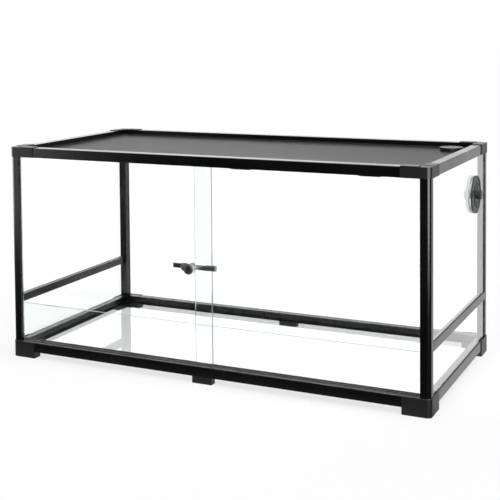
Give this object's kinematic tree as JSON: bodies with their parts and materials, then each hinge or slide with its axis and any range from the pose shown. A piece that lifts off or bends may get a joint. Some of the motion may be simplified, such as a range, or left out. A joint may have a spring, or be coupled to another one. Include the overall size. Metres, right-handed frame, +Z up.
{
  "type": "reptile terrarium",
  "caption": "Long glass reptile terrarium with a black frame, overlapping sliding front doors with a ratchet bar lock, a lift-off mesh top with a cable port, and a round turning side vent.",
  "frame": {"origin": "under the middle of the overall box, on the surface the feet stand on; the vent's knob and the lock count in that box", "axes": "+X to the right along the length as seen from the doors, +Y from the doors to the back, +Z up"},
  "size_m": [1.2374, 0.611, 0.6],
  "materials": {
    "frame_metal": "black satin coat on extruded bars",
    "corner_plastic": "fine-grained black moulded plastic",
    "track_plastic": "smooth black extruded plastic",
    "pane_glass": "clear polished glass with green-grey edges",
    "clear_plastic": "pale translucent plastic",
    "vent_plastic": "dark grey moulded plastic",
    "port_plastic": "dark grey moulded plastic",
    "screw_steel": "zinc-plated",
    "lock_bar_steel": "dark brushed steel",
    "lock_chrome": "polished chrome",
    "lock_plug_metal": "dark turned metal face",
    "mesh_metal": "grey woven wire mesh",
    "spline_rubber": "black ribbed cord"
  },
  "bodies": {
    "tank": {"front_left_post": "frame_metal", "front_right_post": "frame_metal", "rear_left_post": "frame_metal", "rear_right_post": "frame_metal", "top_front_rail": "frame_metal", "top_rear_rail": "frame_metal", "top_left_rail": "frame_metal", "top_right_rail": "frame_metal", "bottom_front_rail": "frame_metal", "bottom_rear_rail": "frame_metal", "bottom_left_rail": "frame_metal", "bottom_right_rail": "frame_metal", "left_side_bar": "frame_metal", "right_side_bar": "frame_metal", "front_left_cap": "corner_plastic", "front_right_cap": "corner_plastic", "rear_left_cap": "corner_plastic", "rear_right_cap": "corner_plastic", "front_left_foot": "corner_plastic", "front_right_foot": "corner_plastic", "rear_left_foot": "corner_plastic", "rear_right_foot": "corner_plastic", "front_middle_foot": "corner_plastic", "rear_middle_foot": "corner_plastic", "foot_screws": "screw_steel", "base_panel": "pane_glass", "back_glass": "pane_glass", "left_lower_glass": "pane_glass", "left_upper_glass": "pane_glass", "right_lower_glass": "pane_glass", "right_upper_glass": "pane_glass", "dam_glass": "pane_glass", "bottom_door_track": "track_plastic", "top_door_track": "track_plastic", "vent_flange": "clear_plastic", "vent_nut": "clear_plastic"},
    "left_door": {"left_door_glass": "pane_glass", "left_door_glide": "track_plastic", "lock_bar": "lock_bar_steel"},
    "right_door": {"right_door_glass": "pane_glass", "right_door_glides": "track_plastic", "lock_body": "lock_chrome"},
    "lock_plug": {"lock_plug": "lock_plug_metal"},
    "vent_cover": {"vent_cover": "vent_plastic", "vent_outer_knob": "vent_plastic", "vent_inner_knob": "vent_plastic"},
    "screen_top": {"screen_front_bar": "frame_metal", "screen_rear_bar": "frame_metal", "screen_left_bar": "frame_metal", "screen_right_bar": "frame_metal", "screen_corner_keys": "track_plastic", "screen_mesh": "mesh_metal", "screen_spline": "spline_rubber", "port_ring": "port_plastic", "port_nut": "port_plastic"},
    "port_cap": {"port_cap": "port_plastic"}
  },
  "joints": [
    {"name": "left_door_slide", "type": "slide", "parent": "tank", "child": "left_door", "axis": [1, 0, 0], "range_m": [0, 0.53]},
    {"name": "right_door_slide", "type": "slide", "parent": "tank", "child": "right_door", "axis": [-1, 0, 0], "range_m": [0, 0.51]},
    {"name": "lock_plug_turn", "type": "hinge", "parent": "right_door", "child": "lock_plug", "pos_m": [-0.04315, -0.2995, 0.303], "axis": [0, -1, 0], "range_deg": [-90, 0]},
    {"name": "vent_turn", "type": "hinge", "parent": "tank", "child": "vent_cover", "pos_m": [0.59585, 0.1485, 0.472], "axis": [1, 0, 0], "range_deg": [0, 22.5]},
    {"name": "screen_lift", "type": "slide", "parent": "tank", "child": "screen_top", "axis": [0, 0, 1], "range_m": [0, 0.1]},
    {"name": "port_cap_lift", "type": "slide", "parent": "screen_top", "child": "port_cap", "axis": [0, 0, 1], "range_m": [0, 0.04]}
  ]
}
